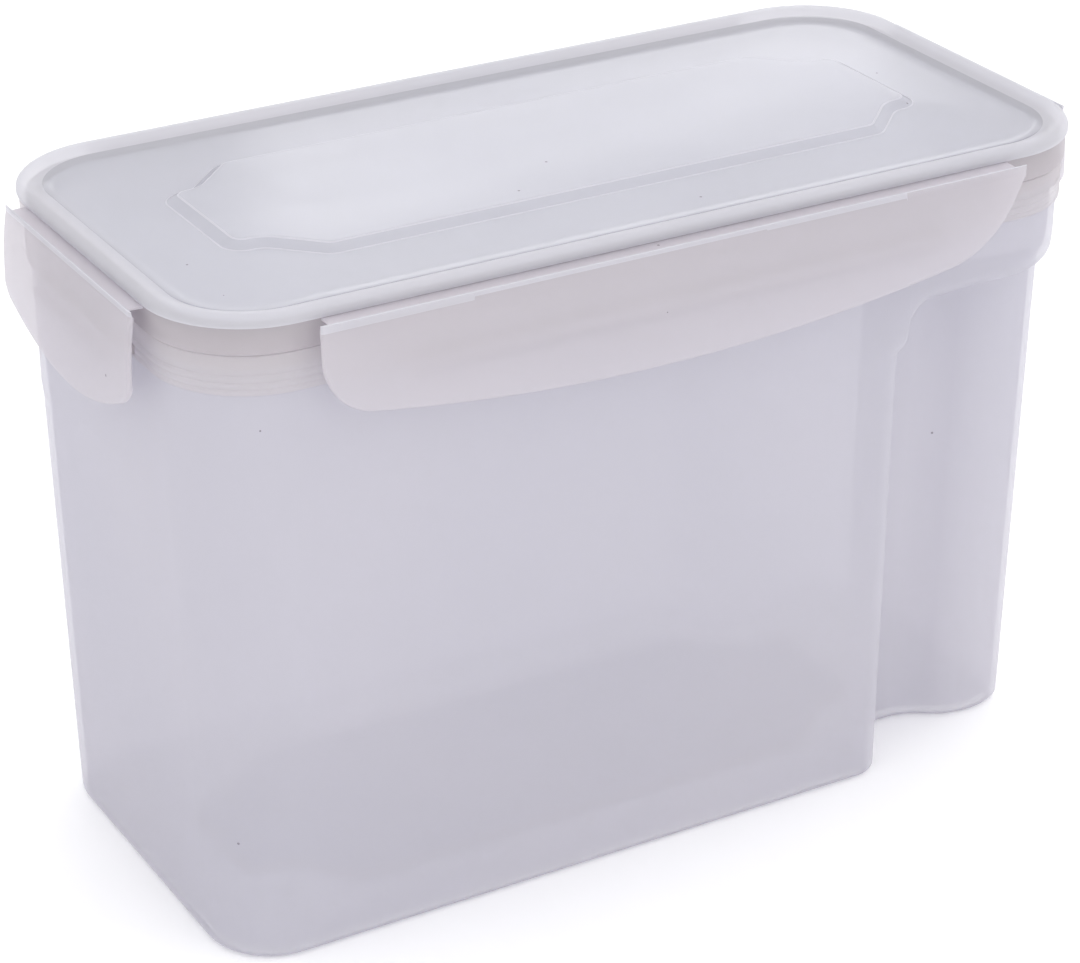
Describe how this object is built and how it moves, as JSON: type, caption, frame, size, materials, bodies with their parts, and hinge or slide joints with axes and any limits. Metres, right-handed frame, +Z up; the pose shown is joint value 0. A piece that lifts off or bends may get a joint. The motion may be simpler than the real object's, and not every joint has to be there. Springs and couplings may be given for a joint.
{
  "type": "food canister",
  "caption": "Tall translucent food canister with a moulded end grip, a stepped stacking lid on a silicone seal, and hinged clips on every side.",
  "frame": {"origin": "middle of the foot, on the surface that the canister stands on", "axes": "+Z up, +X along the length towards the grip end, -Y towards the front long side"},
  "size_m": [0.3082, 0.1572, 0.203],
  "materials": {
    "tub_plastic": "translucent polypropylene, satin outside",
    "lid_plastic": "translucent polypropylene, satin",
    "clip_plastic": "translucent polypropylene, satin",
    "hinge_film": "thin flexed polypropylene",
    "seal_silicone": "milky silicone"
  },
  "bodies": {
    "tub": {"tub": "tub_plastic"},
    "lid": {"lid": "lid_plastic", "seal": "seal_silicone", "front_hinge": "hinge_film", "back_hinge": "hinge_film", "left_hinge": "hinge_film", "right_hinge": "hinge_film"},
    "front_clip": {"front_clip": "clip_plastic"},
    "back_clip": {"back_clip": "clip_plastic"},
    "left_clip": {"left_clip": "clip_plastic"},
    "right_clip": {"right_clip": "clip_plastic"}
  },
  "joints": [
    {"name": "lid_lift", "type": "slide", "parent": "tub", "child": "lid", "axis": [0, 0, 1], "range_m": [0, 0.06]},
    {"name": "front_clip_hinge", "type": "hinge", "parent": "lid", "child": "front_clip", "pos_m": [0, -0.076, 0.1988], "axis": [-1, 0, 0], "range_deg": [0, 120]},
    {"name": "back_clip_hinge", "type": "hinge", "parent": "lid", "child": "back_clip", "pos_m": [0, 0.076, 0.1988], "axis": [1, 0, 0], "range_deg": [0, 120]},
    {"name": "left_clip_hinge", "type": "hinge", "parent": "lid", "child": "left_clip", "pos_m": [-0.1515, 0, 0.1988], "axis": [0, 1, 0], "range_deg": [0, 120]},
    {"name": "right_clip_hinge", "type": "hinge", "parent": "lid", "child": "right_clip", "pos_m": [0.1515, 0, 0.1988], "axis": [0, -1, 0], "range_deg": [0, 120]}
  ]
}
